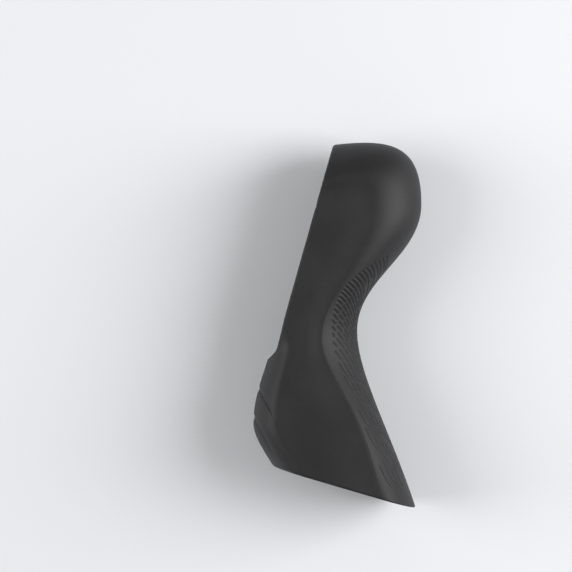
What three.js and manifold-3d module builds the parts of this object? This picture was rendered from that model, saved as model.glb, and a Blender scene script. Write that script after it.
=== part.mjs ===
// Brake lever hood: the moulded rubber sleeve that covers the bracket of a drop-bar brake and shift
// lever, left-hand side, one piece. The bar side is an open mouth, the palm side dips to a waist and
// rises to a horn, and the lever side is one long slanted opening.
// Sizes are millimetres and angles degrees. The sleeve is drawn in its side view first: +X is the palm
// side, +Y the lever side, +Z the outer side, and the origin is the waist of the palm line. At the end
// it is laid on its inner side, where it comes to rest.
import * as THREE from "three";
import { mergeVertices } from "three/addons/utils/BufferGeometryUtils.js";
import Module from "manifold-3d";

// Palm line, from the mouth over the waist to the horn and its nose.
const MOUTH_REACH = 57.6; // waist back to the mouth's top edge
const MOUTH_RISE = 19;
const MOUTH_FLARE = 18; // angle of the palm line at the mouth
const FLARE_RUN = 26; // how far the flare runs before the line bends to the waist
const SADDLE_BACK = 14; // how far the waist stays level toward the mouth and toward the horn
const SADDLE_FRONT = 17;
const HORN_REACH = 41.4; // waist forward to the horn's crest
const HORN_RISE = 21;
const CREST_RUN = 17;
const NOSE_RUN = 19; // how far the crest runs on before the nose turns down
const NOSE_FACE = 20; // how much of the nose stands square to the grip
const NOSE_TURN = 97; // angle through which the palm line has turned at the nose

// Lever opening: one flat cut from its heel, under the grip, to the nose.
const HEEL_DROP = 27.2;
const HEEL_BACK = 8.2;
const HEEL_STEP = 1.9; // how far the underside's end stands out from the cut
const HEEL_CORNER = 2.6; // length of the corner between that end and the cut
const HEEL_BLEND = 13; // length over which the round of the underside opens into straight sides
const OPENING_LENGTH = 71.6;
const OPENING_SIDE = 49; // length of the opening's straight sides
const OPENING_SLANT = 15.7;

// Underside, from the mouth over the belly to the heel.
const BELLY_DROP = 33.9;
const BELLY_BACK = 30;
const HEEL_RISE = 18; // angle of the underside where it ends
const MOUTH_DROP = 27.5;
const MOUTH_TUCK = 30; // angle of the underside at the mouth
const MOUTH_BOTTOM_BACK = 44; // waist back to the mouth's bottom edge

// Width of the sleeve at distances along the grip.
const MOUTH_WIDTH = 39;
const BACK_WIDTH = 36;
const GRIP_WIDTH = 33;
const HORN_WIDTH = 33.6;
const NOSE_WIDTH = 30.5;
const SIDE_BULGE = 0.4; // how far the side panels stand proud of flat

// How deep the rounding of the palm side and of the underside reach down the side panels.
const MOUTH_CROWN = 12;
const BACK_CROWN = 8.3;
const GRIP_CROWN = 12.2;
const HORN_CROWN = 17;
const NOSE_CROWN = 15;
const INNER_GRIP_CROWN = 9;
const INNER_HORN_CROWN = 12;
const MOUTH_ROUND = 11;
const BELLY_ROUND = 8;

// The rounding of the palm side meets the side panel in a ridge where it stops short of a quarter turn.
const QUARTER = 90;
const RIDGE_SWEEP = 71;
const INNER_RIDGE_SWEEP = 82;

// Wall, its thicker edges, and the locating tabs inside.
const WALL = 2.2;
const MOUTH_EDGE = 2.8;
const OPENING_EDGE = 2.7;
const TAB_LENGTH = 7;
const TAB_WIDTH = 3.4;
const TAB_HEIGHT = 1.4;
const TAB_SINK = 0.9; // how far a tab runs into the wall that carries it

// How the sleeve leans when it lies on its inner side.
const LIE_PITCH = -1.46;

// Fineness of the mesh: rows along the sleeve, and columns over the two parts of half a section.
const BACK_ROWS = 20;
const HEEL_ROWS = 6;
const FRONT_ROWS = 22;
const CROWN_COLUMNS = 10;
const LOWER_COLUMNS = 12;

const at = (x, y) => new THREE.Vector2(x, y);
const radians = THREE.MathUtils.degToRad;
const heading = (angle) => at(Math.sin(radians(angle)), Math.cos(radians(angle)));
const along = (point, direction, length) => point.clone().addScaledVector(direction, length);
const smooth = (t) => THREE.MathUtils.smoothstep(t, 0, 1);

// The side view: where each of the two long lines runs.
const waist = at(0, 0);
const forward = heading(0);
const mouthTop = at(MOUTH_RISE, -MOUTH_REACH);
const crest = at(HORN_RISE, HORN_REACH);
const cut = heading(OPENING_SLANT);
const cutEnd = at(-HEEL_DROP, -HEEL_BACK);
const heel = along(cutEnd, cutEnd.clone().sub(waist).normalize(), HEEL_STEP);
const nose = along(cutEnd, cut, OPENING_LENGTH);
const belly = at(-BELLY_DROP, -BELLY_BACK);
const mouthBottom = at(-MOUTH_DROP, -MOUTH_BOTTOM_BACK);

// One stretch of a long line: it leaves its first point and reaches its last one along set directions.
const stretch = (from, leave, run, to, arrive, slow) =>
  new THREE.CubicBezierCurve(from, along(from, leave, run), along(to, arrive, -slow), to);

const palm = new THREE.CurvePath();
palm.add(stretch(mouthTop, heading(-MOUTH_FLARE), FLARE_RUN, waist, forward, SADDLE_BACK));
palm.add(stretch(waist, forward, SADDLE_FRONT, crest, forward, CREST_RUN));
palm.add(stretch(crest, forward, NOSE_RUN, nose, heading(-NOSE_TURN), NOSE_FACE));

const underside = new THREE.CurvePath();
const tuck = (MOUTH_BOTTOM_BACK - BELLY_BACK) / 3;
const swell = (BELLY_BACK - HEEL_BACK) / 3;
underside.add(stretch(mouthBottom, heading(-MOUTH_TUCK), tuck, belly, forward, tuck));
underside.add(stretch(belly, forward, swell, heel, heading(HEEL_RISE), swell));

const waistShare = palm.curves[0].getLength() / palm.getLength();
const crestShare = 1 - palm.curves[2].getLength() / palm.getLength();
const backShare = waistShare / 2;

// A smooth curve through values at stations, for the widths and the roundings.
function profile(...stations) {
  const slope = (i) => {
    const before = stations[Math.max(i - 1, 0)];
    const after = stations[Math.min(i + 1, stations.length - 1)];
    return (after[1] - before[1]) / (after[0] - before[0]);
  };
  return (place) => {
    const beyond = stations.findIndex((station) => station[0] > place);
    const i = beyond < 0 ? stations.length - 2 : Math.max(beyond - 1, 0);
    const [start, low] = stations[i];
    const [end, high] = stations[i + 1];
    const t = THREE.MathUtils.clamp((place - start) / (end - start), 0, 1);
    const leave = slope(i) * (end - start) * (t - 2 * t ** 2 + t ** 3);
    const arrive = slope(i + 1) * (end - start) * (t ** 3 - t ** 2);
    return THREE.MathUtils.lerp(low, high, smooth(t)) + leave + arrive;
  };
}

const halfWidth = profile(
  [-MOUTH_REACH, MOUTH_WIDTH / 2],
  [-MOUTH_REACH / 2, BACK_WIDTH / 2],
  [0, GRIP_WIDTH / 2],
  [HORN_REACH, HORN_WIDTH / 2],
  [nose.y, NOSE_WIDTH / 2],
);
const outerCrown = profile(
  [0, MOUTH_CROWN],
  [backShare, BACK_CROWN],
  [waistShare, GRIP_CROWN],
  [crestShare, HORN_CROWN],
  [1, NOSE_CROWN],
);
const innerCrown = profile(
  [0, MOUTH_CROWN],
  [backShare, BACK_CROWN],
  [waistShare, INNER_GRIP_CROWN],
  [crestShare, INNER_HORN_CROWN],
  [1, NOSE_CROWN],
);
const outerSweep = profile(
  [0, QUARTER],
  [backShare, RIDGE_SWEEP],
  [waistShare, RIDGE_SWEEP],
  [(waistShare + crestShare) / 2, QUARTER],
  [1, QUARTER],
);
const innerSweep = profile(
  [0, QUARTER],
  [backShare, QUARTER],
  [waistShare, INNER_RIDGE_SWEEP],
  [crestShare, INNER_RIDGE_SWEEP],
  [1, QUARTER],
);
const roundDepth = profile([0, MOUTH_ROUND], [backShare, BELLY_ROUND], [1, BELLY_ROUND]);
const wall = (share) =>
  WALL + (MOUTH_EDGE - WALL) * smooth(1 - share / 0.07) + (OPENING_EDGE - WALL) * smooth((share - 0.92) / 0.07);

// The section at a share of the length runs down from the palm line. Behind the waist it is a closed
// loop that ends on the underside line, and ahead of the waist it is open and ends on the cut. There the
// loop is still thought of as closed below the cut, by the spare length, so that the walls keep one form.
const SIDE_AT_CREST = 0.84 * OPENING_SIDE;
const undersideLength = underside.getLength();
const lowerRun = profile(
  [0, 0],
  [waistShare, undersideLength],
  [crestShare, undersideLength + SIDE_AT_CREST],
  [1, undersideLength + OPENING_SIDE],
);
function section(share) {
  const top = palm.getPointAt(share);
  const round = roundDepth(share);
  const run = lowerRun(share);
  const ahead = run - undersideLength;
  const closed = ahead <= 0;
  const end = closed ? underside.getPointAt(run / undersideLength) : along(cutEnd, cut, ahead);
  const spare = closed ? 0 : THREE.MathUtils.lerp(HEEL_STEP, round, smooth(ahead / HEEL_BLEND));
  const corner = Math.max(1 - ahead / HEEL_CORNER, 0) ** 2;
  return {
    top,
    round,
    length: top.distanceTo(end) + spare,
    gone: closed ? 0 : spare * (1 - corner),
    down: end.clone().sub(top).normalize(),
  };
}

// A point of the outer skin. Its turn runs from 0 on the palm line to 1 on the underside line, and is
// negative on the inner side. The last turn of a section is less than 1 where the section is open.
const CROWN_END = 0.4;
const ROUND_START = 0.7;
function lastTurn(share) {
  const { gone, round } = section(share);
  return 1 - (1 - ROUND_START) * (Math.acos(1 - gone / round) / radians(QUARTER));
}

function skin(share, turn) {
  const { top, round, length, down } = section(share);
  const t = Math.abs(turn);
  const crown = turn < 0 ? innerCrown(share) : outerCrown(share);
  const sweep = radians(Math.min(turn < 0 ? innerSweep(share) : outerSweep(share), QUARTER));
  let depth = 0;
  let part = 1;
  let bulge = 0;
  if (t < CROWN_END) {
    const angle = (sweep * t) / CROWN_END;
    depth = (crown * (1 - Math.cos(angle))) / (1 - Math.cos(sweep));
    part = Math.sin(angle) / Math.sin(sweep);
  } else if (t > ROUND_START) {
    const angle = (radians(QUARTER) * (1 - t)) / (1 - ROUND_START);
    depth = length - round * (1 - Math.cos(angle));
    part = Math.sin(angle);
  } else {
    const across = (t - CROWN_END) / (ROUND_START - CROWN_END);
    depth = THREE.MathUtils.lerp(crown, length - round, across);
    bulge = SIDE_BULGE * Math.sin(Math.PI * across) ** 2;
  }
  const place = along(top, down, depth);
  return new THREE.Vector3(place.x, place.y, Math.sign(turn) * (halfWidth(place.y) * part + bulge));
}

// The outward direction of the skin, turned into the plane of the section at the mouth and at the nose
// so that those edges end flat.
const NUDGE = 1e-3;
const STEEPEST = 1.7;
const CROSSING = 0.25; // where rows and columns cross less than this, the wall is a side panel
function outward(share, turn) {
  const row = THREE.MathUtils.clamp(share, NUDGE, 1 - NUDGE);
  const lengthwise = skin(row + NUDGE, turn).sub(skin(row - NUDGE, turn));
  const wrap = (t) => (t > 1 ? t - 2 : t);
  const around = skin(row, wrap(turn + NUDGE)).sub(skin(row, turn - NUDGE));
  const area = lengthwise.length() * around.length();
  const normal = lengthwise.cross(around).divideScalar(area);
  const open = smooth(normal.length() / CROSSING);
  normal.normalize().lerp(new THREE.Vector3(0, 0, Math.sign(turn)), 1 - open);
  const { down } = section(share);
  const square = new THREE.Vector3(down.y, -down.x, 0);
  const flat = normal.clone().addScaledVector(square, -normal.dot(square));
  const reach = Math.min(1 / flat.length(), STEEPEST);
  flat.normalize().multiplyScalar(reach);
  const atMouth = smooth(1 - share / 0.08);
  const atNose = smooth((share - 0.92) / 0.08) * smooth((ROUND_START - Math.abs(turn)) / (ROUND_START - CROWN_END));
  return normal.lerp(flat, Math.max(atMouth, atNose));
}

const lining = (share, turn) => skin(share, turn).addScaledVector(outward(share, turn), -wall(share));

// Evenly spread steps from one value up to the next, without the last one.
const spread = (from, to, count, ease = 1) =>
  Array.from({ length: count }, (_, i) => THREE.MathUtils.lerp(from, to, (i / count) ** ease));

// The shares of the rows, close together where the section opens at the heel.
const heelShare = waistShare + HEEL_BLEND / palm.getLength();
const shares = [
  ...spread(0, waistShare, BACK_ROWS),
  ...spread(waistShare, heelShare, HEEL_ROWS, 2),
  ...spread(heelShare, 1, FRONT_ROWS),
  1,
];

// The turns of a row's columns, from its inner edge over the palm line to its outer edge.
function rowTurns(share) {
  const half = [
    ...spread(0, CROWN_END, CROWN_COLUMNS),
    ...spread(CROWN_END, lastTurn(share), LOWER_COLUMNS),
    lastTurn(share),
  ];
  return [...half.slice(1).reverse().map((turn) => -turn), ...half];
}

// The sleeve is one closed skin: the outside, the lining, and the edges of the mouth and the opening
// that join the two.
function sleeveGeometry() {
  const outside = shares.map((share) => rowTurns(share).map((turn) => skin(share, turn)));
  const inside = shares.map((share) => rowTurns(share).map((turn) => lining(share, turn)));
  const rows = shares.length;
  const columns = outside[0].length;
  const innerSide = rows * columns;
  const outerPoint = (row, column) => row * columns + column;
  const innerPoint = (row, column) => innerSide + row * columns + column;
  const index = [];
  const quad = (a, b, c, d) => index.push(a, b, c, a, c, d);
  for (let row = 0; row < rows - 1; row++) {
    for (let i = 0; i < columns - 1; i++) {
      quad(outerPoint(row, i), outerPoint(row + 1, i), outerPoint(row + 1, i + 1), outerPoint(row, i + 1));
      quad(innerPoint(row, i), innerPoint(row, i + 1), innerPoint(row + 1, i + 1), innerPoint(row + 1, i));
    }
    if (shares[row] >= waistShare) {
      const last = columns - 1;
      quad(innerPoint(row, 0), innerPoint(row + 1, 0), outerPoint(row + 1, 0), outerPoint(row, 0));
      quad(outerPoint(row, last), outerPoint(row + 1, last), innerPoint(row + 1, last), innerPoint(row, last));
    }
  }
  for (let i = 0; i < columns - 1; i++) {
    quad(outerPoint(0, i), outerPoint(0, i + 1), innerPoint(0, i + 1), innerPoint(0, i));
    quad(innerPoint(rows - 1, i), innerPoint(rows - 1, i + 1), outerPoint(rows - 1, i + 1), outerPoint(rows - 1, i));
  }
  const geometry = new THREE.BufferGeometry().setFromPoints([...outside.flat(), ...inside.flat()]);
  geometry.setIndex(index);
  return geometry;
}

// A locating tab: a small block that stands on the lining and runs into the wall behind it.
function tabGeometry(share, turn) {
  const base = lining(share, turn);
  const inward = outward(share, turn).normalize().negate();
  const lengthwise = lining(share + NUDGE, turn).sub(base).normalize();
  const across = new THREE.Vector3().crossVectors(lengthwise, inward).normalize();
  const upright = new THREE.Matrix4().makeBasis(across, new THREE.Vector3().crossVectors(inward, across), inward);
  return new THREE.BoxGeometry(TAB_WIDTH, TAB_LENGTH, TAB_HEIGHT + TAB_SINK)
    .translate(0, 0, (TAB_HEIGHT - TAB_SINK) / 2)
    .applyMatrix4(upright)
    .translate(base.x, base.y, base.z);
}

const wasm = await Module();
wasm.setup();

function solidOf(geometry) {
  const bare = new THREE.BufferGeometry();
  bare.setAttribute("position", geometry.getAttribute("position"));
  bare.setIndex(geometry.getIndex());
  const merged = mergeVertices(bare, 1e-4);
  const mesh = new wasm.Mesh({
    numProp: 3,
    vertProperties: new Float32Array(merged.getAttribute("position").array),
    triVerts: new Uint32Array(merged.getIndex().array),
  });
  return new wasm.Manifold(mesh);
}

function geometryOf(solid) {
  const mesh = solid.getMesh();
  const geometry = new THREE.BufferGeometry();
  geometry.setAttribute("position", new THREE.Float32BufferAttribute(mesh.vertProperties, mesh.numProp));
  geometry.setIndex(new THREE.Uint32BufferAttribute(mesh.triVerts, 1));
  return geometry;
}

const tabs = [
  [backShare, 0.55],
  [backShare, -0.55],
  [backShare, 1],
  [crestShare, 0],
];
const sleeve = tabs.reduce(
  (solid, [share, turn]) => solid.add(solidOf(tabGeometry(share, turn))),
  solidOf(sleeveGeometry()),
);

const rubber = new THREE.MeshStandardMaterial({ color: 0x343436, roughness: 0.62, metalness: 0 });
const hood = new THREE.Mesh(geometryOf(sleeve), rubber);
hood.name = "lever_hood";
hood.rotation.x = radians(LIE_PITCH);
hood.updateMatrixWorld(true);
const box = new THREE.Box3().setFromObject(hood, true);
hood.position.set(-(box.min.x + box.max.x) / 2, -(box.min.y + box.max.y) / 2, -box.min.z);

const part = new THREE.Group();
part.add(hood);
export default part;
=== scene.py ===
# %% [markdown]
# # A rubber brake lever hood
# This lesson makes one part: the soft rubber cover that fits over the bracket of a bicycle's brake
# lever. The rider's palm rests on its saddle, the tall horn stands at the front, and the lever
# comes out of the long opening below. It is one moulded piece, so one mesh carries everything: the
# skin, the lining, the rims, the grip grooves and the flex creases.

import bmesh
import bpy
import numpy as np
from mathutils import Matrix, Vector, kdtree


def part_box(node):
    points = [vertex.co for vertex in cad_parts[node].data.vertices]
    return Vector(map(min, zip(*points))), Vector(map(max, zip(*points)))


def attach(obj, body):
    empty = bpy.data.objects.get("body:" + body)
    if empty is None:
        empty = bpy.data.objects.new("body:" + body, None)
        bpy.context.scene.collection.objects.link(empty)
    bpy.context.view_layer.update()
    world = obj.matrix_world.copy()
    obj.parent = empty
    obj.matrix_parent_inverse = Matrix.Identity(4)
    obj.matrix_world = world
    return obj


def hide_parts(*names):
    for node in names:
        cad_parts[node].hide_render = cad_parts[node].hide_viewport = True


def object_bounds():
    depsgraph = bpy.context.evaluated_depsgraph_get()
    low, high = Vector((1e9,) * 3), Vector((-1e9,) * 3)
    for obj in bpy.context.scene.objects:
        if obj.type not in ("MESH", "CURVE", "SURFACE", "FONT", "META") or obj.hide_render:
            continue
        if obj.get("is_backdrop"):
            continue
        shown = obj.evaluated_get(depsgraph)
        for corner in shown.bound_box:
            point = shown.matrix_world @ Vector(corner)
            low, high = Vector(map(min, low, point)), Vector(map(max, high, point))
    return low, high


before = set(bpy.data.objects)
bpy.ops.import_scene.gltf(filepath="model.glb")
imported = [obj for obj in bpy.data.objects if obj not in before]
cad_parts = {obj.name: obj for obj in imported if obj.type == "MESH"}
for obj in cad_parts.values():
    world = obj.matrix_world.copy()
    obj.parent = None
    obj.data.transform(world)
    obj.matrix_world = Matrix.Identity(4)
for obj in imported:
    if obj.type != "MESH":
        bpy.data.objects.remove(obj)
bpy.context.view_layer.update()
NODE = "lever_hood"
BOX_LOW, BOX_HIGH = (np.array(corner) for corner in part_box(NODE))
MM = 0.001
print("the solid model's box is", np.round((BOX_HIGH - BOX_LOW) / MM, 1), "mm")

# %% [markdown]
# ## Sizes
# The hood is one soft shell, so its whole form comes from two long lines seen from the side and from
# the width across them. All lengths are in millimetres and all angles in degrees, and they are the
# same sizes that the solid model has. A hood could also be sculpted, but a rule keeps the looks and
# the solid on one form.

# %% Sizes of the hood
MOUTH_REACH, MOUTH_RISE, MOUTH_FLARE, FLARE_RUN = 57.6, 19, 18, 26
SADDLE_BACK, SADDLE_FRONT = 14, 17
HORN_REACH, HORN_RISE, CREST_RUN = 41.4, 21, 17
NOSE_RUN, NOSE_FACE, NOSE_TURN = 19, 20, 97
HEEL_DROP, HEEL_BACK, HEEL_STEP, HEEL_CORNER, HEEL_BLEND = 27.2, 8.2, 1.9, 2.6, 13
OPENING_LENGTH, OPENING_SIDE, OPENING_SLANT = 71.6, 49, 15.7
BELLY_DROP, BELLY_BACK, HEEL_RISE = 33.9, 30, 18
MOUTH_DROP, MOUTH_TUCK, MOUTH_BOTTOM_BACK = 27.5, 30, 44
MOUTH_WIDTH, BACK_WIDTH, GRIP_WIDTH, HORN_WIDTH, NOSE_WIDTH = 39, 36, 33, 33.6, 30.5
SIDE_BULGE = 0.4
MOUTH_CROWN, BACK_CROWN, GRIP_CROWN, HORN_CROWN, NOSE_CROWN = 12, 8.3, 12.2, 17, 15
INNER_GRIP_CROWN, INNER_HORN_CROWN, MOUTH_ROUND, BELLY_ROUND = 9, 12, 11, 8
QUARTER, RIDGE_SWEEP, INNER_RIDGE_SWEEP = 90, 71, 82
WALL, MOUTH_EDGE, OPENING_EDGE, EDGE_ROUND = 2.2, 2.8, 2.7, 0.75
LIE_PITCH = -1.46
print(f"the opening is {OPENING_LENGTH} mm long, the wall {WALL} mm thick")

# %% [markdown]
# ## The two long lines
# The palm line runs from the mouth over the waist to the horn and down its nose, and the underside
# line runs from the mouth over the belly to the heel. Each is a chain of Bezier stretches that leave
# and arrive along a heading. Drawing them as curves and not as lists of points keeps them smooth at
# any fineness.


# %% Lines
def heading(angle):
    return np.array([np.sin(np.radians(angle)), np.cos(np.radians(angle))])


def smooth(t):
    t = np.clip(t, 0, 1)
    return t * t * (3 - 2 * t)


POINTS_PER_STRETCH = 300


def stretch(start, leave, run, end, arrive, slow):
    t = np.linspace(0, 1, POINTS_PER_STRETCH)[:, None]
    first, last = start + leave * run, end - arrive * slow
    return (1 - t) ** 3 * start + 3 * (1 - t) ** 2 * t * first + 3 * (1 - t) * t**2 * last + t**3 * end


class LongLine:
    def __init__(self, *stretches):
        self.points = np.vstack([stretches[0]] + [piece[1:] for piece in stretches[1:]])
        steps = np.linalg.norm(np.diff(self.points, axis=0), axis=1)
        self.run = np.concatenate([[0], np.cumsum(steps)])
        self.length = self.run[-1]

    def at(self, run):
        return np.stack([np.interp(run, self.run, self.points[:, axis]) for axis in (0, 1)], -1)


waist, forward, cut = np.zeros(2), heading(0), heading(OPENING_SLANT)
mouth_top = np.array([MOUTH_RISE, -MOUTH_REACH])
crest = np.array([HORN_RISE, HORN_REACH])
cut_end = np.array([-HEEL_DROP, -HEEL_BACK])
heel = cut_end * (1 + HEEL_STEP / np.linalg.norm(cut_end))
nose = cut_end + cut * OPENING_LENGTH
belly = np.array([-BELLY_DROP, -BELLY_BACK])
mouth_bottom = np.array([-MOUTH_DROP, -MOUTH_BOTTOM_BACK])

back = stretch(mouth_top, heading(-MOUTH_FLARE), FLARE_RUN, waist, forward, SADDLE_BACK)
rise = stretch(waist, forward, SADDLE_FRONT, crest, forward, CREST_RUN)
over = stretch(crest, forward, NOSE_RUN, nose, heading(-NOSE_TURN), NOSE_FACE)
palm = LongLine(back, rise, over)
tuck = (MOUTH_BOTTOM_BACK - BELLY_BACK) / 3
swell = (BELLY_BACK - HEEL_BACK) / 3
underside = LongLine(
    stretch(mouth_bottom, heading(-MOUTH_TUCK), tuck, belly, forward, tuck),
    stretch(belly, forward, swell, heel, heading(HEEL_RISE), swell),
)
WAIST = LongLine(back).length / palm.length
CREST = 1 - LongLine(over).length / palm.length
BACK = WAIST / 2
print(f"palm line {palm.length:.1f} mm, underside {underside.length:.1f} mm")

# %% [markdown]
# ## Widths and roundings along the hood
# The width, the depth of the rounded palm side and the sharpness of its ridge all change along the
# hood. Each is a smooth curve through a few stations, because steps between them would show as
# dents in the rubber.


# %% Profiles
def profile(*stations):
    place, value = np.array(stations, float).T
    before = np.maximum(np.arange(len(place)) - 1, 0)
    after = np.minimum(np.arange(len(place)) + 1, len(place) - 1)
    slope = (value[after] - value[before]) / (place[after] - place[before])

    def read(x):
        i = np.clip(np.searchsorted(place, x, side="right") - 1, 0, len(place) - 2)
        gap = place[i + 1] - place[i]
        t = np.clip((x - place[i]) / gap, 0, 1)
        eased = value[i] + (value[i + 1] - value[i]) * smooth(t)
        return eased + slope[i] * gap * (t - 2 * t**2 + t**3) + slope[i + 1] * gap * (t**3 - t**2)

    return read


half_width = profile(
    (-MOUTH_REACH, MOUTH_WIDTH / 2),
    (-MOUTH_REACH / 2, BACK_WIDTH / 2),
    (0, GRIP_WIDTH / 2),
    (HORN_REACH, HORN_WIDTH / 2),
    (nose[1], NOSE_WIDTH / 2),
)
outer_crown = profile(
    (0, MOUTH_CROWN),
    (BACK, BACK_CROWN),
    (WAIST, GRIP_CROWN),
    (CREST, HORN_CROWN),
    (1, NOSE_CROWN),
)
inner_crown = profile(
    (0, MOUTH_CROWN),
    (BACK, BACK_CROWN),
    (WAIST, INNER_GRIP_CROWN),
    (CREST, INNER_HORN_CROWN),
    (1, NOSE_CROWN),
)
outer_sweep = profile(
    (0, QUARTER),
    (BACK, RIDGE_SWEEP),
    (WAIST, RIDGE_SWEEP),
    ((WAIST + CREST) / 2, QUARTER),
    (1, QUARTER),
)
inner_sweep = profile(
    (0, QUARTER),
    (BACK, QUARTER),
    (WAIST, INNER_RIDGE_SWEEP),
    (CREST, INNER_RIDGE_SWEEP),
    (1, QUARTER),
)
round_depth = profile((0, MOUTH_ROUND), (BACK, BELLY_ROUND), (1, BELLY_ROUND))
SIDE_SHARE_AT_CREST = 0.84
lower_run = profile(
    (0, 0),
    (WAIST, underside.length),
    (CREST, underside.length + SIDE_SHARE_AT_CREST * OPENING_SIDE),
    (1, underside.length + OPENING_SIDE),
)


THICKER_SHARE, NOSE_SHARE = 0.07, 0.92


def wall(share):
    at_mouth = smooth(1 - share / THICKER_SHARE)
    at_opening = smooth((share - NOSE_SHARE) / THICKER_SHARE)
    return WALL + (MOUTH_EDGE - WALL) * at_mouth + (OPENING_EDGE - WALL) * at_opening


print(f"wall {wall(0):.1f} mm at the mouth, {wall(WAIST):.1f} at the waist, {wall(1):.1f} at the nose")

# %% [markdown]
# ## Skin and lining
# Every section of the hood runs down from the palm line: a rounded crown, a nearly flat side, and
# the round of the underside. Behind the waist the section is a closed loop, and ahead of it the
# section stops at the cut of the lever opening. The lining is the same skin moved inward by the wall.
# A Solidify modifier would do that too, but here the edges of the mouth and the nose have to stay
# flat.

# %% Skin, its outward direction and the lining
CROWN_END, ROUND_START = 0.4, 0.7
NUDGE, STEEPEST, CROSSING = 1e-3, 1.7, 0.25
FLAT_RIM_SHARE = 0.08


def section(share):
    top = palm.at(share * palm.length)
    rounding, run = round_depth(share), lower_run(share)
    ahead = run - underside.length
    closed = ahead <= 0
    end = np.where(closed[..., None], underside.at(run), cut_end + cut * ahead[..., None])
    spare = np.where(closed, 0, HEEL_STEP + (rounding - HEEL_STEP) * smooth(ahead / HEEL_BLEND))
    corner = np.clip(1 - ahead / HEEL_CORNER, 0, 1) ** 2
    reach = np.linalg.norm(end - top, axis=-1)
    down = (end - top) / reach[..., None]
    return top, rounding, reach + spare, np.where(closed, 0, spare * (1 - corner)), down


def last_turn(share):
    _, rounding, _, gone, _ = section(share)
    return 1 - (1 - ROUND_START) * np.arccos(1 - gone / rounding) / (np.pi / 2)


def skin(share, turn):
    share, turn = np.broadcast_arrays(np.asarray(share, float), np.asarray(turn, float))
    top, rounding, length, _, down = section(share)
    t = np.abs(turn)
    crown = np.where(turn < 0, inner_crown(share), outer_crown(share))
    ridge_sweep = np.where(turn < 0, inner_sweep(share), outer_sweep(share))
    sweep = np.radians(np.minimum(ridge_sweep, QUARTER))
    over_palm = sweep * t / CROWN_END
    under = np.pi / 2 * (1 - t) / (1 - ROUND_START)
    across = (t - CROWN_END) / (ROUND_START - CROWN_END)
    in_crown, in_round = t < CROWN_END, t > ROUND_START
    flat = crown + (length - rounding - crown) * across
    depth = np.where(in_round, length - rounding * (1 - np.cos(under)), flat)
    depth = np.where(in_crown, crown * (1 - np.cos(over_palm)) / (1 - np.cos(sweep)), depth)
    part = np.where(in_round, np.sin(under), 1.0)
    part = np.where(in_crown, np.sin(over_palm) / np.sin(sweep), part)
    bulge = np.where(in_crown | in_round, 0, SIDE_BULGE * np.sin(np.pi * across) ** 2)
    place = top + down * depth[..., None]
    z = np.sign(turn) * (half_width(place[..., 1]) * part + bulge)
    return np.concatenate([place, z[..., None]], -1)


def length_of(vectors):
    return np.linalg.norm(vectors, axis=-1, keepdims=True)


def outward(share, turn):
    share, turn = np.broadcast_arrays(np.asarray(share, float), np.asarray(turn, float))
    row = np.clip(share, NUDGE, 1 - NUDGE)
    lengthwise = skin(row + NUDGE, turn) - skin(row - NUDGE, turn)
    ahead, behind = turn + NUDGE, turn - NUDGE
    ahead, behind = np.where(ahead > 1, ahead - 2, ahead), np.where(behind < -1, behind + 2, behind)
    around = skin(row, ahead) - skin(row, behind)
    normal = np.cross(lengthwise, around) / (length_of(lengthwise) * length_of(around))
    crossing = smooth(length_of(normal) / CROSSING)
    sideways = np.stack([0 * turn, 0 * turn, np.sign(turn)], -1)
    normal = normal / length_of(normal) * crossing + sideways * (1 - crossing)
    down = section(share)[-1]
    square = np.stack([down[..., 1], -down[..., 0], 0 * turn], -1)
    flat = normal - square * (normal * square).sum(-1, keepdims=True)
    flat = flat / length_of(flat) * np.minimum(1 / length_of(flat), STEEPEST)
    crown_side = smooth((ROUND_START - np.abs(turn)) / (ROUND_START - CROWN_END))
    at_mouth = smooth(1 - share / FLAT_RIM_SHARE)
    at_nose = smooth((share - NOSE_SHARE) / FLAT_RIM_SHARE) * crown_side
    at_edge = np.maximum(at_mouth, at_nose)[..., None]
    return normal * (1 - at_edge) + flat * at_edge


def lining(share, turn):
    return skin(share, turn) - outward(share, turn) * wall(np.asarray(share, float))[..., None]


print("the hood is", round(2 * float(skin(WAIST, CROWN_END)[2]), 1), "mm wide at the waist")

# %% [markdown]
# ## A grid with its detail where it is needed
# A groove half a millimetre wide needs points closer than that, but the lining needs few. Rows run
# along the hood and columns run round it, and both lie close together on the grip and beside every
# edge. Subdividing the whole mesh would be simpler, but it would cost ten times the faces.

# %% Rows and columns
FINE_ROW, HORN_ROW, LOWER_COLUMNS = 0.32, 0.9, 38
GRIP_FRONT = 33
RIM_STEPS = np.array([0, 0.07, 0.18, 0.33, 0.52, 0.76, 1.05, 1.4])
CORNER_ROWS = 6
NOSE_RIM_STRETCH = 1.6
TURN_PER_RUN = 1 / 50
CROWN_COLUMNS, INNER_GRIP_COLUMNS, INNER_CROWN_COLUMNS = 80, 30, 14
INNER_GRIP_TURN = 0.16

waist_run = WAIST * palm.length
grip_end = waist_run + GRIP_FRONT
nose_rim = palm.length - NOSE_RIM_STRETCH * RIM_STEPS[::-1]
behind_waist = np.arange(waist_run, RIM_STEPS[-1] + FINE_ROW, -FINE_ROW)[::-1]
heel_corner = waist_run + FINE_ROW * (np.arange(1, CORNER_ROWS) / CORNER_ROWS) ** 2
on_grip = np.arange(waist_run + FINE_ROW, grip_end, FINE_ROW)
on_horn = np.arange(grip_end, nose_rim[0] - HORN_ROW / 2, HORN_ROW)
runs = np.concatenate([RIM_STEPS, behind_waist, heel_corner, on_grip, on_horn, nose_rim])
rows = runs / palm.length
waist_row = len(RIM_STEPS) + len(behind_waist) - 1
rows[waist_row] = WAIST
rows[-1] = 1


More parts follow.
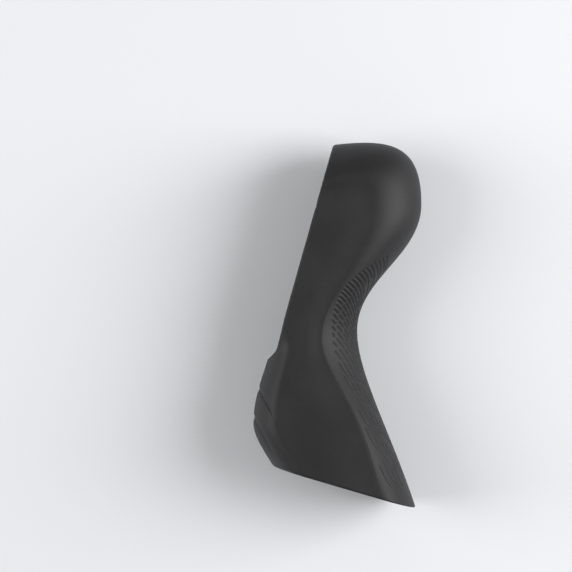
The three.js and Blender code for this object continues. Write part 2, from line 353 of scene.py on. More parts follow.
def columns(lasts):
    rim = lasts[:, None] - RIM_STEPS[::-1] * TURN_PER_RUN
    lower = CROWN_END + (rim[:, :1] - CROWN_END) * np.arange(LOWER_COLUMNS) / LOWER_COLUMNS
    side = np.hstack([lower, rim])
    outer = np.linspace(0, CROWN_END, CROWN_COLUMNS, endpoint=False)
    inner_grip = np.linspace(0, INNER_GRIP_TURN, INNER_GRIP_COLUMNS, endpoint=False)
    inner_crown = np.linspace(INNER_GRIP_TURN, CROWN_END, INNER_CROWN_COLUMNS, endpoint=False)
    inner = np.concatenate([inner_grip, inner_crown])[1:]
    tile = np.ones((len(lasts), 1))
    return np.hstack([-side[:, ::-1], -inner[::-1] * tile, outer * tile, side])


turns = columns(last_turn(rows))
shares = rows[:, None] + 0 * turns
PALM_COLUMN = int(np.argmin(np.abs(turns[0])))
LAST = turns.shape[1] - 1
sharp_skin, outside = skin(shares, turns), outward(shares, turns)
sharp_lining = lining(shares, turns)
print(f"{len(rows)} rows and {LAST + 1} columns")

# %% [markdown]
# ## Rounded rims
# The real edges of moulded rubber are round. A Bevel modifier would choke on the dense grid, so each
# point near a rim moves along its normal by the depth of a quarter circle at its own distance from
# the rim. The distance comes from a search tree over closely spaced points of the rim.


# %% Round both edges of each rim
RIM_POINT_GAP = 0.08
LINING_ROUNDS, LINING_PATCH = 80, (22, 20)
SKIN_ROUNDS, SKIN_PATCH = 24, (16, 14)


def closely(points):
    pieces = []
    for start, end in zip(points[:-1], points[1:]):
        count = max(int(np.linalg.norm(end - start) / RIM_POINT_GAP), 1)
        pieces.append(start + (end - start) * (np.arange(count) / count)[:, None])
    return np.vstack(pieces)


def rim_depth(grid):
    open_rows = slice(waist_row, None)
    edges = [grid[0], grid[-1], grid[open_rows, 0], grid[open_rows, LAST]]
    rim = np.vstack([closely(edge) for edge in edges])
    tree = kdtree.KDTree(len(rim))
    for index, point in enumerate(rim):
        tree.insert(point, index)
    tree.balance()
    gap = np.full(grid.shape[:2], EDGE_ROUND)
    margin = 2 * len(RIM_STEPS)
    near = np.zeros(gap.shape, bool)
    near[:margin] = near[-margin:] = True
    near[waist_row - margin :, :margin] = near[waist_row - margin :, -margin:] = True
    for i, j in zip(*np.nonzero(near)):
        gap[i, j] = min(tree.find(grid[i, j])[2], EDGE_ROUND)
    return EDGE_ROUND - np.sqrt(EDGE_ROUND**2 - (EDGE_ROUND - gap) ** 2)


def unit_of(vectors):
    return vectors / length_of(vectors)


skin_grid = sharp_skin - unit_of(outside) * rim_depth(sharp_skin)[..., None]
lining_grid = sharp_lining + unit_of(outside) * rim_depth(sharp_lining)[..., None]


def relaxed(grid, rounds, patch):
    """The grid with its two front corners evened out, where rows and columns nearly meet."""
    for flip in (1, -1):
        part = grid[-patch[0] :, ::flip][:, : patch[1]]
        row_fade = smooth(np.arange(patch[0]) / patch[0])[:, None]
        fade = row_fade * smooth(1 - np.arange(patch[1]) / patch[1])
        for _ in range(rounds):
            evened = part.copy()
            lengthwise, around = part[:-2, 1:-1] + part[2:, 1:-1], part[1:-1, :-2] + part[1:-1, 2:]
            evened[1:-1, 1:-1] = (lengthwise + around) / 4
            evened[1:-1, 0] = (part[:-2, 0] + part[2:, 0]) / 2
            evened[-1, 1:-1] = (part[-1, :-2] + part[-1, 2:]) / 2
            evened[-1, 0] = (part[-2, 0] + part[-1, 1]) / 2
            part += (evened - part) * fade[..., None]
    return grid


lining_grid = relaxed(lining_grid, LINING_ROUNDS, LINING_PATCH)
skin_grid = relaxed(skin_grid, SKIN_ROUNDS, SKIN_PATCH)
print("rim edges rounded to", EDGE_ROUND, "mm")

# %% [markdown]
# ## Flex creases
# Low on the back of the hood the rubber has two shallow creases that wrap under the belly, where it
# bends when it is pulled over the bracket. Each lies in one slanting plane, so a point sinks by how
# close it is to that plane. Sculpting would work too, but then the two sides would not match.

# %% Sink the creases
CREASE_SLOPE, CREASES = 1.78, (-76.3, -88.3)
CREASE_WIDTH, CREASE_DEPTH = 0.5, 0.34
CREASE_TOP, CREASE_FADE = -26.4, 3

x, y = skin_grid[..., 0], skin_grid[..., 1]
low_down = smooth((CREASE_TOP - x) / CREASE_FADE)
crease = np.zeros_like(x)
for level in CREASES:
    gap = (y + CREASE_SLOPE * x - level) / np.hypot(1, CREASE_SLOPE)
    crease = np.maximum(crease, np.exp(-((gap / CREASE_WIDTH) ** 2)) * low_down)
skin_grid = skin_grid - outside * (CREASE_DEPTH * crease)[..., None]
print("crease depth reaches", round(float(crease.max() * CREASE_DEPTH), 2), "mm")

# %% [markdown]
# ## Into the frame
# The hood lies on its inner side, tipped by a degree and a half so that it rests steadily. The same
# turn and shift bring the grid into the frame of the solid model.


# %% Turn, shift and scale to metres
def turned(points):
    tip = np.radians(LIE_PITCH)
    x, y, z = np.moveaxis(points, -1, 0)
    return np.stack([x, y * np.cos(tip) - z * np.sin(tip), y * np.sin(tip) + z * np.cos(tip)], -1)


both = np.vstack([turned(sharp_skin).reshape(-1, 3), turned(sharp_lining).reshape(-1, 3)]) * MM
SHIFT = (BOX_LOW + BOX_HIGH - both.min(0) - both.max(0)) / 2


def placed(points):
    return turned(points) * MM + SHIFT


box_difference = np.abs(np.ptp(both, 0) - (BOX_HIGH - BOX_LOW)).max() / MM
print(f"largest difference from the box is {box_difference:.2f} mm")

# %% [markdown]
# ## One closed mesh
# Skin and lining become one solid with a strip of faces along the mouth, the nose and both sides of
# the opening. The lining keeps only some of the rows and columns, so a strip's faces have a few more
# corners on the skin side. Building the faces by hand keeps the shell closed and its faces outward.

# %% Join skin, lining and rims
ROW_SKIP, COLUMN_SKIP = 6, 4
FAR_OFF = 1.0


def thinned(count, dense_parts, skip):
    keep = np.ones(count, bool)
    for first, last in dense_parts:
        keep[first + 1 : last] = (np.arange(first + 1, last) - first) % skip == 0
    return np.flatnonzero(keep)


rim = len(RIM_STEPS)
grip_last = waist_row + CORNER_ROWS + len(on_grip)
rear_part = (rim, waist_row - CORNER_ROWS)
grip_part = (waist_row + 2 * CORNER_ROWS, grip_last)
kept_rows = thinned(len(rows), [rear_part, grip_part], ROW_SKIP)
side_columns = rim + LOWER_COLUMNS
kept_columns = thinned(LAST + 1, [(side_columns, LAST - side_columns)], COLUMN_SKIP)

skin_id = np.arange(skin_grid.shape[0] * (LAST + 1)).reshape(skin_grid.shape[:2])
skin_id[: waist_row + 1, LAST] = skin_id[: waist_row + 1, 0]
lining_id = skin_id + skin_id.size

faces = []
quads = np.stack([skin_id[:-1, :-1], skin_id[:-1, 1:], skin_id[1:, 1:], skin_id[1:, :-1]], -1)
faces.extend(quads.reshape(-1, 4).tolist())
inside_id = lining_id[np.ix_(kept_rows, kept_columns)]
quads = np.stack([inside_id[1:, :-1], inside_id[1:, 1:], inside_id[:-1, 1:], inside_id[:-1, :-1]], -1)
faces.extend(quads.reshape(-1, 4).tolist())
for a, b in zip(kept_columns[:-1], kept_columns[1:]):
    faces.append([*skin_id[0, a : b + 1][::-1], lining_id[0, a], lining_id[0, b]])
    faces.append([*skin_id[-1, a : b + 1], lining_id[-1, b], lining_id[-1, a]])
for a, b in zip(kept_rows[:-1], kept_rows[1:]):
    if a >= waist_row:
        faces.append([*skin_id[a : b + 1, 0], lining_id[b, 0], lining_id[a, 0]])
        faces.append([*skin_id[a : b + 1, LAST][::-1], lining_id[a, LAST], lining_id[b, LAST]])

points = np.vstack([placed(skin_grid).reshape(-1, 3), placed(lining_grid).reshape(-1, 3)])
steps_around = np.linalg.norm(np.diff(sharp_skin, axis=1), axis=2)
around = np.hstack([np.zeros((len(rows), 1)), np.cumsum(steps_around, 1)])
around = around - around[:, PALM_COLUMN : PALM_COLUMN + 1]
along = (shares - WAIST) * palm.length
grip_place = np.stack([around, along, 0 * along], -1).reshape(-1, 3) * MM
grip_place = np.vstack([grip_place, np.full_like(grip_place, FAR_OFF)])

used = np.unique(np.concatenate([np.asarray(face) for face in faces]))
renumber = np.zeros(len(points), int)
renumber[used] = np.arange(len(used))
faces = [renumber[face].tolist() for face in faces]
shell = bpy.data.meshes.new("hood_shell")
shell.from_pydata(points[used].tolist(), [], faces)
grip_map = shell.attributes.new("grip", "FLOAT_VECTOR", "POINT")
grip_map.data.foreach_set("vector", grip_place[used].ravel())
creased = np.concatenate([crease.ravel(), 0 * crease.ravel()])[used]
shell.attributes.new("crease", "FLOAT", "POINT").data.foreach_set("value", creased)

check = bmesh.new()
check.from_mesh(shell)
loose = sum(not edge.is_manifold or not edge.is_contiguous for edge in check.edges)
inside_out = check.calc_volume(signed=True) < 0
check.free()
if inside_out:
    shell.flip_normals()
triangles = sum(len(face) - 2 for face in faces)
print(f"shell of {triangles} triangles, {loose} edges out of order, turned over: {inside_out}")

# %% [markdown]
# ## Locating tabs
# Four low blocks inside the hood drop into recesses of the bracket and stop the rubber from
# creeping. Each is a cube cut to size with its edges bevelled, turned to stand on the lining and sunk
# a little into it. A Boolean could join them, but it would disturb the dense grid of the shell.

# %% Tabs
TAB_LENGTH, TAB_WIDTH, TAB_HEIGHT, TAB_SINK, TAB_ROUND = 7, 3.4, 1.4, 0.9, 0.5
TAB_ROUND_STEPS = 3
TAB_PLACES = ((BACK, 0.55), (BACK, -0.55), (BACK, 1), (CREST, 0))


def tab_frame(share, turn):
    spot, inward = lining(share, turn), -unit_of(outward(share, turn))
    lengthwise = unit_of(skin(share + NUDGE, turn) - skin(share - NUDGE, turn))
    across = unit_of(np.cross(lengthwise, inward))
    lengthwise = np.cross(inward, across)
    origin = placed(spot)
    axes = [(placed(spot + axis) - origin) / MM for axis in (across, lengthwise, inward)]
    matrix = Matrix.Identity(4)
    for column, axis in enumerate([*axes, origin]):
        for row_index in range(3):
            matrix[row_index][column] = axis[row_index]
    return matrix


hood_mesh = bmesh.new()
hood_mesh.from_mesh(shell)
grip_layer = hood_mesh.verts.layers.float_vector["grip"]
for share, turn in TAB_PLACES:
    size = Matrix.Diagonal((TAB_WIDTH * MM, TAB_LENGTH * MM, (TAB_HEIGHT + TAB_SINK) * MM, 1))
    lift = Matrix.Translation((0, 0, (TAB_HEIGHT - TAB_SINK) / 2 * MM))
    stand = tab_frame(np.array(share), np.array(turn))
    made = bmesh.ops.create_cube(hood_mesh, size=1, matrix=stand @ lift @ size)
    edges = list({edge for vert in made["verts"] for edge in vert.link_edges})
    rounded = bmesh.ops.bevel(
        hood_mesh,
        geom=edges,
        offset=TAB_ROUND * MM,
        segments=TAB_ROUND_STEPS,
        profile=0.5,
        affect="EDGES",
    )
    for vert in rounded["verts"]:
        vert[grip_layer] = (FAR_OFF, FAR_OFF, FAR_OFF)
hood_mesh.to_mesh(shell)
hood_mesh.free()
shell.shade_smooth()
print(len(TAB_PLACES), "tabs stand", TAB_HEIGHT, "mm proud of the lining")

# %% [markdown]
# ## Node helpers
# Node trees read best as arithmetic. A Wire is one node output, and adding or multiplying wires makes
# the Math nodes. Every other node comes from one method that takes its type, its settings and its
# values. Clicking the same nodes together in the editor gives the same result.


# %% Wires and graphs
class Wire:
    """An output socket that takes part in Python arithmetic."""

    def __init__(self, graph, socket):
        self.graph, self.socket = graph, socket

    def math(self, operation, *values):
        return self.graph.node("ShaderNodeMath", {"operation": operation}, dict(enumerate(values)))

    def output(self, name):
        return Wire(self.graph, self.socket.node.outputs[name])

    def __add__(self, other):
        return self.math("ADD", self, other)

    def __radd__(self, other):
        return self.math("ADD", other, self)

    def __sub__(self, other):
        return self.math("SUBTRACT", self, other)

    def __rsub__(self, other):
        return self.math("SUBTRACT", other, self)

    def __mul__(self, other):
        return self.math("MULTIPLY", self, other)

    def __rmul__(self, other):
        return self.math("MULTIPLY", other, self)


class Graph:
    """A node tree in which each call adds one node."""

    def __init__(self, tree):
        self.tree = tree

    def node(self, kind, settings=None, values=None, output=0):
        made = self.tree.nodes.new(kind)
        for name, setting in (settings or {}).items():
            setattr(made, name, setting)
        for key, value in (values or {}).items():
            if isinstance(value, Wire):
                self.tree.links.new(value.socket, made.inputs[key])
            else:
                made.inputs[key].default_value = value
        return Wire(self, made.outputs[output]) if made.outputs else made


# %% [markdown]
# ## The rubber
# Moulded grip rubber is a very dark grey, a little paler where it is handled, and matt. Its surface
# has a fine spark-eroded grain from the mould and faint broad unevenness. Inside the grooves it is
# rougher, and the colour is darkened as painted shade in the grooves, along the flex creases and on a
# thin line in each crease. All of it is procedural, on Object coordinates, so it stays on the part
# from every side.

# %% Rubber material
# The last colour is painted shade, mixed in at the grooves, the flex creases and the crease lines.
RUBBER_COLOUR, RUBBER_WORN = (0.0092, 0.0091, 0.0101, 1), (0.0185, 0.0182, 0.0196, 1)
PAINTED_SHADE_COLOUR = (0.0045, 0.0045, 0.005, 1)
RUBBER_ROUGHNESS, GRAIN_SCALE, CLOUD_SCALE, FLECK_SCALE = 0.56, 2600, 60, 700
CLOUD_ROUGHNESS, GROOVE_ROUGHNESS, RUBBER_SPECULAR = 0.12, 0.15, 0.34
GRAIN_STRENGTH, GRAIN_HEIGHT = 0.35, 0.06 * MM
CLOUD_PART, FLECK_PART, WORN_FROM, WORN_TO = 0.7, 0.3, 0.35, 0.7
WORN_SHARE, GRAIN_SHARE = 0.55, 0.15
GROOVE_PAINTED_SHADE, FOLD_PAINTED_SHADE, LINE_PAINTED_SHADE = 0.6, 0.15, 0.7
GRAIN_RELIEF, FLECK_RELIEF = 0.8, 0.2
LINE_WIDTH, LINE_HEIGHT, LINE_STRENGTH, LINE_SPREAD = 0.5, 0.12 * MM, 0.8, 1.6

rubber = bpy.data.materials.new("moulded_rubber")
rubber.use_nodes = True
rubber.node_tree.nodes.clear()
paint = Graph(rubber.node_tree)
place = paint.node("ShaderNodeTexCoord", output="Object")
fine = {"Vector": place, "Scale": GRAIN_SCALE, "Detail": 2.0, "Roughness": 0.6}
grain = paint.node("ShaderNodeTexNoise", values=fine)
broad = {"Vector": place, "Scale": CLOUD_SCALE, "Detail": 3.0}
cloud = paint.node("ShaderNodeTexNoise", values=broad)
middling = {"Vector": place, "Scale": FLECK_SCALE, "Detail": 4.0}
fleck = paint.node("ShaderNodeTexNoise", values=middling)
groove = paint.node("ShaderNodeAttribute", {"attribute_name": "groove"}, output="Fac")
fold = paint.node("ShaderNodeAttribute", {"attribute_name": "crease"}, output="Fac")
tip_angle = np.radians(LIE_PITCH)
unshifted = [
    paint.node("ShaderNodeSeparateXYZ", values={0: place}, output=axis) - shift
    for axis, shift in zip("XYZ", SHIFT)
]
place_x = unshifted[0] * (1 / MM)
place_y = (unshifted[1] * np.cos(tip_angle) + unshifted[2] * np.sin(tip_angle)) * (1 / MM)
across_creases = place_y + place_x * CREASE_SLOPE
gaps = [(across_creases - level).math("ABSOLUTE", across_creases - level) for level in CREASES]
nearest = gaps[0].math("MINIMUM", *gaps) * (1 / np.hypot(1, CREASE_SLOPE))
# The crease line: a thin band along the middle of each crease that dents the bump and darkens the
# colour as painted shade.
hairline = paint.node(
    "ShaderNodeMapRange",
    {"interpolation_type": "SMOOTHSTEP"},
    {"Value": nearest, "From Min": 0.0, "From Max": LINE_WIDTH / 2, "To Min": 1.0, "To Max": 0.0},
)
hairline = hairline * (fold * LINE_SPREAD)
handled = paint.node(
    "ShaderNodeMapRange",
    {"interpolation_type": "SMOOTHSTEP"},
    {
        "Value": cloud * CLOUD_PART + fleck * FLECK_PART,
        "From Min": WORN_FROM,
        "From Max": WORN_TO,
    },
)
MIX_FACTOR, MIX_A, MIX_B, MIX_RESULT = 0, 6, 7, 2
base = paint.node(
    "ShaderNodeMix",
    {"data_type": "RGBA"},
    {
        MIX_FACTOR: handled * WORN_SHARE + grain * GRAIN_SHARE,
        MIX_A: RUBBER_COLOUR,
        MIX_B: RUBBER_WORN,
    },
    output=MIX_RESULT,
)
# Painted shade: the colour darkens towards the shade colour in the grooves, the flex creases and along
# the crease lines.
painted_shade = groove * GROOVE_PAINTED_SHADE + fold * FOLD_PAINTED_SHADE + hairline * LINE_PAINTED_SHADE
shaded = paint.node(
    "ShaderNodeMix",
    {"data_type": "RGBA"},
    {MIX_FACTOR: painted_shade, MIX_A: base, MIX_B: PAINTED_SHADE_COLOUR},
    output=MIX_RESULT,
)
line_relief = paint.node(
    "ShaderNodeBump",
    values={"Height": 1 - hairline, "Strength": LINE_STRENGTH, "Distance": LINE_HEIGHT},
)
relief = paint.node(
    "ShaderNodeBump",
    values={
        "Height": grain * GRAIN_RELIEF + fleck * FLECK_RELIEF,
        "Strength": GRAIN_STRENGTH,
        "Distance": GRAIN_HEIGHT,
        "Normal": line_relief,
    },
)
surface = paint.node(
    "ShaderNodeBsdfPrincipled",
    values={
        "Base Color": shaded,
        "Roughness": RUBBER_ROUGHNESS + (cloud - 0.5) * CLOUD_ROUGHNESS + groove * GROOVE_ROUGHNESS,
        "Specular IOR Level": RUBBER_SPECULAR,
        "Normal": relief,
    },
)
paint.node("ShaderNodeOutputMaterial", values={"Surface": surface})
print("rubber material has", len(rubber.node_tree.nodes), "nodes")

# %% [markdown]
# ## The grip pattern
# The palm side carries many thin grooves, like the barbs of a feather. They lie on a flat map
# of the grip: one axis runs round the hood from the palm line, and the other along it. Towards the
# horn they are long bent strokes close together, at the waist short straight dashes, and behind it
# sparse hooks. They follow one another along lines of flow that start at the edge of the grip, so no
# two strokes cross. A rule sets how long each is, which way it points and how it bends.


# %% Where the strokes start, and their shape
PATTERN_FRONT, PATTERN_BACK, PATTERN_INNER = 29.5, -50, -8
HORN_INSET, HORN_INSET_RAMP, HORN_STRAIGHTENING, HORN_START, HORN_RAMP = 8, 9, 14, 6, 8
ODD_SHARE, EDGE_GAP = 0.8, 0.15
STROKE_SAMPLES, NOWHERE = 7, 99.0
edge_of_grip = profile(
    *((-50, 20.5), (-36, 19.6), (-24, 18.2), (-9, 17.6), (2, 18.4)),
    *((9, 20.2), (16, 22), (20.5, 22.3), (24.5, 20), (30, 13.5)),
)
stroke_pitch = profile(
    *((-50, 7.4), (-18, 6.4), (-8, 4.8), (-2, 3.4), (3, 2.7), (9, 2.2)),
    *((13, 1.8), (17, 1.45), (21, 1.1), (25, 0.85), (30, 0.8)),
)
stroke_reach = profile(
    *((-50, 7), (-32, 7.8), (-16, 6.6), (-9, 5.6), (-2, 4.4)),
    *((6, 3.7), (11, 4.2), (18, 6.2), (23, 10), (30, 11)),
)
first_share = profile((-50, 1), (-9, 1), (-4, 0.75), (0, 0.42), (4, 0.66), (9, 1), (30, 1))
stroke_gap = profile((-50, 4.6), (-16, 4), (-8, 2.6), (-2, 1.7), (4, 1.3), (30, 1.1))
stroke_turn = profile(
    *((-50, 8), (-14, 10), (-9, 20), (-4, 33), (1, 43)),
    *((6, 46), (14, 51), (24, 54), (30, 52)),
)
stroke_clearance = profile((-50, 1.7), (-12, 1.35), (-2, 1.05), (6, 0.9), (30, 0.75))
stroke_hook = profile((-50, 26), (-16, 28), (-9, 12), (-4, 0), (30, 0))


def flow(at):
    """The way a stroke points, in degrees from towards the mouth to towards the palm line."""
    inset = edge_of_grip(at[1]) - at[0]
    far_in = smooth((inset - HORN_INSET) / HORN_INSET_RAMP) * smooth((at[1] - HORN_START) / HORN_RAMP)
    return stroke_turn(at[1]) - HORN_STRAIGHTENING * far_in


def onward(at, turn, run):
    return at - run * heading(turn)


starts, shapes, taken = [], [], [np.array([NOWHERE, NOWHERE])]
edge_v, line_count = PATTERN_FRONT, 0
while edge_v > PATTERN_BACK:
    at = np.array([edge_of_grip(edge_v) - EDGE_GAP, edge_v])
    share = first_share(edge_v) * (ODD_SHARE if line_count % 2 else 1)
    new_points = []
    while at[0] > PATTERN_INNER and at[1] > PATTERN_BACK:
        reach = stroke_reach(at[1]) * share
        begin = flow(at)
        end = flow(onward(at, flow(onward(at, begin, reach / 2)), reach))
        turn, bend = (begin + end) / 2, end - begin + stroke_hook(at[1])
        samples = [onward(at, turn, run) for run in np.linspace(0, reach, STROKE_SAMPLES)]
        others = np.array(taken)
        nearest = min(np.linalg.norm(others - sample, axis=1).min() for sample in samples[1:])
        if nearest < stroke_clearance(at[1]):
            break
        new_points.extend(samples)
        starts.append((at[0] * MM, at[1] * MM, 0))
        shapes.append((np.radians(turn), reach * MM, np.radians(bend)))
        at = onward(at, turn, reach + stroke_gap(at[1]))
        share = 1
    taken.extend(new_points)
    edge_v -= stroke_pitch(edge_v)
    line_count += 1
strokes = bpy.data.meshes.new("stroke_starts")
strokes.from_pydata(starts, [], [])
strokes.attributes.new("start", "FLOAT_VECTOR", "POINT").data.foreach_set("vector", np.ravel(starts))
strokes.attributes.new("shape", "FLOAT_VECTOR", "POINT").data.foreach_set("vector", np.ravel(shapes))
stroke_object = bpy.data.objects.new("stroke_starts", strokes)
bpy.context.scene.collection.objects.link(stroke_object)
print(len(starts), "strokes")

# %% [markdown]
# ## Carve the strokes with Geometry Nodes
# The tree puts one straight line on each start point, bends and turns it on the flat map, and asks
# of every point of the rubber how far its own place on that map is from the nearest line. Points
# closer than half a groove sink. A texture displacement would also do, but it needs a picture.

# %% The groove tree
GROOVE_WIDTH, GROOVE_DEPTH, STROKE_POINTS = 0.72 * MM, 0.26 * MM, 8
REAR_END, REAR_START, REAR_SHARE = -16 * MM, 2 * MM, 0.85

carver = bpy.data.node_groups.new("carve_grip", "GeometryNodeTree")
socket_for = {}
for name, kind in (
    ("Geometry", "NodeSocketGeometry"),
    ("Stroke starts", "NodeSocketObject"),
    ("Groove width", "NodeSocketFloat"),
    ("Groove depth", "NodeSocketFloat"),
    ("Rear share", "NodeSocketFloat"),
    ("Points in a stroke", "NodeSocketInt"),
    ("Material", "NodeSocketMaterial"),
):
    made = carver.interface.new_socket(name, in_out="INPUT", socket_type=kind)
    socket_for[name] = made.identifier
carver.interface.new_socket("Geometry", in_out="OUTPUT", socket_type="NodeSocketGeometry")

carve = Graph(carver)
given = carve.node("NodeGroupInput")
start_points = carve.node(
    "GeometryNodeObjectInfo", values={"Object": given.output("Stroke starts")}, output="Geometry"
)
line = carve.node("GeometryNodeCurvePrimitiveLine", values={"Start": (0, 0, 0), "End": (1, 0, 0)})
line = carve.node(
    "GeometryNodeResampleCurve", values={"Curve": line, "Count": given.output("Points in a stroke")}
)
lines = carve.node(
    "GeometryNodeInstanceOnPoints", values={"Points": start_points, "Instance": line}
)
lines = carve.node("GeometryNodeRealizeInstances", values={"Geometry": lines})


def attribute(name, part=None):
    kind = {"data_type": "FLOAT_VECTOR"}
    vector = carve.node("GeometryNodeInputNamedAttribute", kind, {"Name": name})
    if part is None:
        return vector
    return carve.node("ShaderNodeSeparateXYZ", values={0: vector}, output=part)


along_stroke = carve.node("GeometryNodeSplineParameter")
turn, reach, bend = (attribute("shape", part) for part in "XYZ")
sine, cosine = turn.math("SINE", turn), turn.math("COSINE", turn)
straight = reach * along_stroke
sideways = reach * bend * (along_stroke * along_stroke - along_stroke) * 0.5
map_u = attribute("start", "X") - straight * sine - sideways * cosine
map_v = attribute("start", "Y") - straight * cosine + sideways * sine
on_map = carve.node("ShaderNodeCombineXYZ", values={"X": map_u, "Y": map_v})
lines = carve.node("GeometryNodeSetPosition", values={"Geometry": lines, "Position": on_map})
lines = carve.node("GeometryNodeCurveToMesh", values={"Curve": lines})
distance = carve.node(
    "GeometryNodeProximity",
    {"target_element": "EDGES"},
    {"Geometry": lines, "Sample Position": attribute("grip")},
    output="Distance",
)
groove_shape = carve.node(
    "ShaderNodeMapRange",
    {"interpolation_type": "SMOOTHSTEP"},
    {
        "Value": distance,
        "From Min": 0.0,
        "From Max": given.output("Groove width") * 0.5,
        "To Min": 1.0,
        "To Max": 0.0,
    },
)
fading = carve.node(
    "ShaderNodeMapRange",
    {"interpolation_type": "SMOOTHSTEP"},
    {
        "Value": attribute("grip", "Y"),
        "From Min": REAR_END,
        "From Max": REAR_START,
        "To Min": given.output("Rear share"),
        "To Max": 1.0,
    },
)
marked = carve.node(
    "GeometryNodeStoreNamedAttribute",
    {"data_type": "FLOAT", "domain": "POINT"},
    {"Geometry": given.output("Geometry"), "Name": "groove", "Value": groove_shape * fading},
)
stored = carve.node(
    "GeometryNodeInputNamedAttribute", {"data_type": "FLOAT"}, {"Name": "groove"}
)
sinking = carve.node(
    "ShaderNodeVectorMath",
    {"operation": "SCALE"},
    {0: carve.node("GeometryNodeInputNormal"), "Scale": stored * given.output("Groove depth") * -1},
)
carved = carve.node("GeometryNodeSetPosition", values={"Geometry": marked, "Offset": sinking})
carved = carve.node("GeometryNodeRealizeInstances", values={"Geometry": carved})
carved = carve.node(
    "GeometryNodeSetMaterial", values={"Geometry": carved, "Material": given.output("Material")}
)
carve.node("NodeGroupOutput", values={"Geometry": carved})
print("groove tree has", len(carver.nodes), "nodes")

# %% [markdown]
# ## Make the carved hood a plain mesh
# The modifier's inputs are set by the identifiers of their sockets. The evaluated result then becomes
# the mesh of the finished piece, and the modifier and the helper points go.

# %% Apply the tree
blank = bpy.data.objects.new("hood_blank", shell)
bpy.context.scene.collection.objects.link(blank)
modifier = blank.modifiers.new("carve grip", "NODES")
modifier.node_group = carver
for name, value in (
    ("Stroke starts", stroke_object),
    ("Groove width", GROOVE_WIDTH),
    ("Groove depth", GROOVE_DEPTH),
    ("Rear share", REAR_SHARE),
    ("Points in a stroke", STROKE_POINTS),
    ("Material", rubber),
):
    modifier[socket_for[name]] = value
evaluated = blank.evaluated_get(bpy.context.evaluated_depsgraph_get())
finished = bpy.data.meshes.new_from_object(evaluated)
finished.name = "hood_rubber"
bpy.data.objects.remove(blank)
bpy.data.objects.remove(stroke_object)
hood = bpy.data.objects.new("hood_rubber", finished)
bpy.context.scene.collection.objects.link(hood)
depth_map = np.zeros(len(finished.vertices))
finished.attributes["groove"].data.foreach_get("value", depth_map)
finished.calc_loop_triangles()
in_groove = np.mean(depth_map > 0.5)
print(f"{len(finished.loop_triangles)} triangles, {in_groove:.1%} of the points lie in a groove")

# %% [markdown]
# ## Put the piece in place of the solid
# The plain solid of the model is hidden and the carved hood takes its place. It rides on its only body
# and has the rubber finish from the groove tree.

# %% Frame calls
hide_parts(NODE)
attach(hood, "root")
print(hood.name, "stands for", NODE)

# %% [markdown]
# ## Floor
# The hood lies on a plain pale floor, one large square with a matt finish. A curved backdrop would do
# too, but the camera looks straight down and sees no horizon.

# %% Floor
FLOOR_SIZE, FLOOR_COLOUR = 6, (0.72, 0.73, 0.75, 1)
FLOOR_ROUGHNESS, DUST_SCALE, DUST_SHARE = 0.75, 40.0, 0.1

pale = bpy.data.materials.new("pale_floor")
pale.use_nodes = True
pale.node_tree.nodes.clear()
ground = Graph(pale.node_tree)
spot = ground.node("ShaderNodeTexCoord", output="Object")
dust = ground.node("ShaderNodeTexNoise", values={"Vector": spot, "Scale": DUST_SCALE})
matt = ground.node(
    "ShaderNodeBsdfPrincipled",
    values={"Base Color": FLOOR_COLOUR, "Roughness": dust * DUST_SHARE + FLOOR_ROUGHNESS},
)
ground.node("ShaderNodeOutputMaterial", values={"Surface": matt})

floor_mesh = bpy.data.meshes.new("floor")
side = FLOOR_SIZE / 2
corners = [(-side, -side, 0), (side, -side, 0), (side, side, 0), (-side, side, 0)]
floor_mesh.from_pydata(corners, [], [(0, 1, 2, 3)])
floor_mesh.materials.append(pale)
floor = bpy.data.objects.new("floor", floor_mesh)
bpy.context.scene.collection.objects.link(floor)
floor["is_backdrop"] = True
print("floor", FLOOR_SIZE, "m wide")

# %% [markdown]
# ## Lights
# Two large softboxes stand one on each side, under a pale world. Seen straight from above, they leave
# the flat middle of the rubber dark and draw pale bands where it turns away. Lamps overhead would wash
# that shape out.

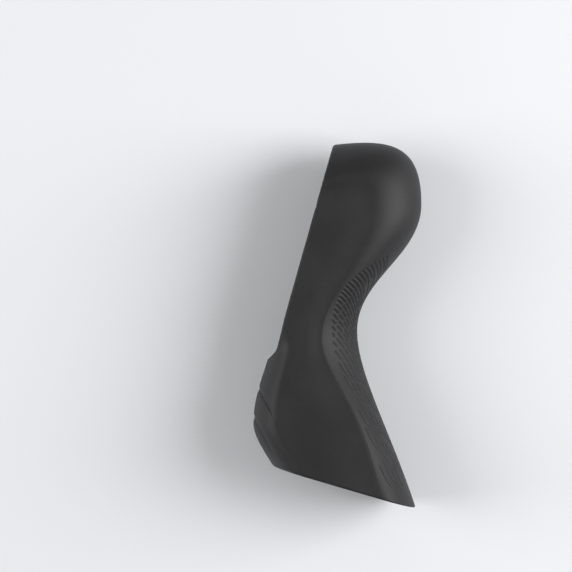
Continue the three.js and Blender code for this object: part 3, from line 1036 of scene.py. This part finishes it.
# %% Lights
SOFTBOX_WIDTH, SOFTBOX_HEIGHT, WORLD_STRENGTH = 0.5, 0.9, 0.31
RIGHT_PLACE, RIGHT_WATTS = (0.75, 0.1, 0.55), 10.5
LEFT_PLACE, LEFT_WATTS = (-0.75, 0.05, 0.45), 5.5


def softbox(name, place, watts):
    lamp = bpy.data.lights.new(name, "AREA")
    lamp.shape, lamp.energy = "RECTANGLE", watts
    lamp.size, lamp.size_y = SOFTBOX_WIDTH, SOFTBOX_HEIGHT
    holder = bpy.data.objects.new(name, lamp)
    holder.location = place
    holder.rotation_mode = "QUATERNION"
    holder.rotation_quaternion = (-holder.location).to_track_quat("-Z", "Y")
    bpy.context.scene.collection.objects.link(holder)


softbox("softbox_right", RIGHT_PLACE, RIGHT_WATTS)
softbox("softbox_left", LEFT_PLACE, LEFT_WATTS)
world = bpy.data.worlds.new("studio")
bpy.context.scene.world = world
world.use_nodes = True
world.node_tree.nodes.clear()
sky = Graph(world.node_tree)
glow = sky.node(
    "ShaderNodeBackground", values={"Color": (1, 1, 1, 1), "Strength": WORLD_STRENGTH}
)
sky.node("ShaderNodeOutputWorld", values={"Surface": glow})
bpy.context.scene.view_settings.view_transform = "Standard"
print("two softboxes and a world of strength", WORLD_STRENGTH)

# %% [markdown]
# ## Camera
# The camera looks straight down, as the photograph does. Its lens is worked out from the width of the
# picture at half the height of the hood, so the scale is right there and hardly changes above and
# below.

# %% Camera
IMAGE_WIDTH_MM, CAMERA_RISE, SENSOR = 186.5, 0.95, 36
CENTRE = np.array([-16.8, 12.7]) * MM

lens = bpy.data.cameras.new("camera")
lens.sensor_width = SENSOR
middle_height = BOX_HIGH[2] / 2
lens.lens = SENSOR * (CAMERA_RISE - middle_height) / (IMAGE_WIDTH_MM * MM)
camera = bpy.data.objects.new("camera", lens)
camera.location = (*CENTRE, CAMERA_RISE)
bpy.context.scene.collection.objects.link(camera)
bpy.context.scene.camera = camera
print(f"lens {lens.lens:.0f} mm, looking straight down from {CAMERA_RISE} m")

# %% Sizes and finish
dressed_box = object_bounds()


dressed_size = np.array(dressed_box[1]) - np.array(dressed_box[0])
print("the dressed model is", np.round(dressed_size / MM, 1), "mm")
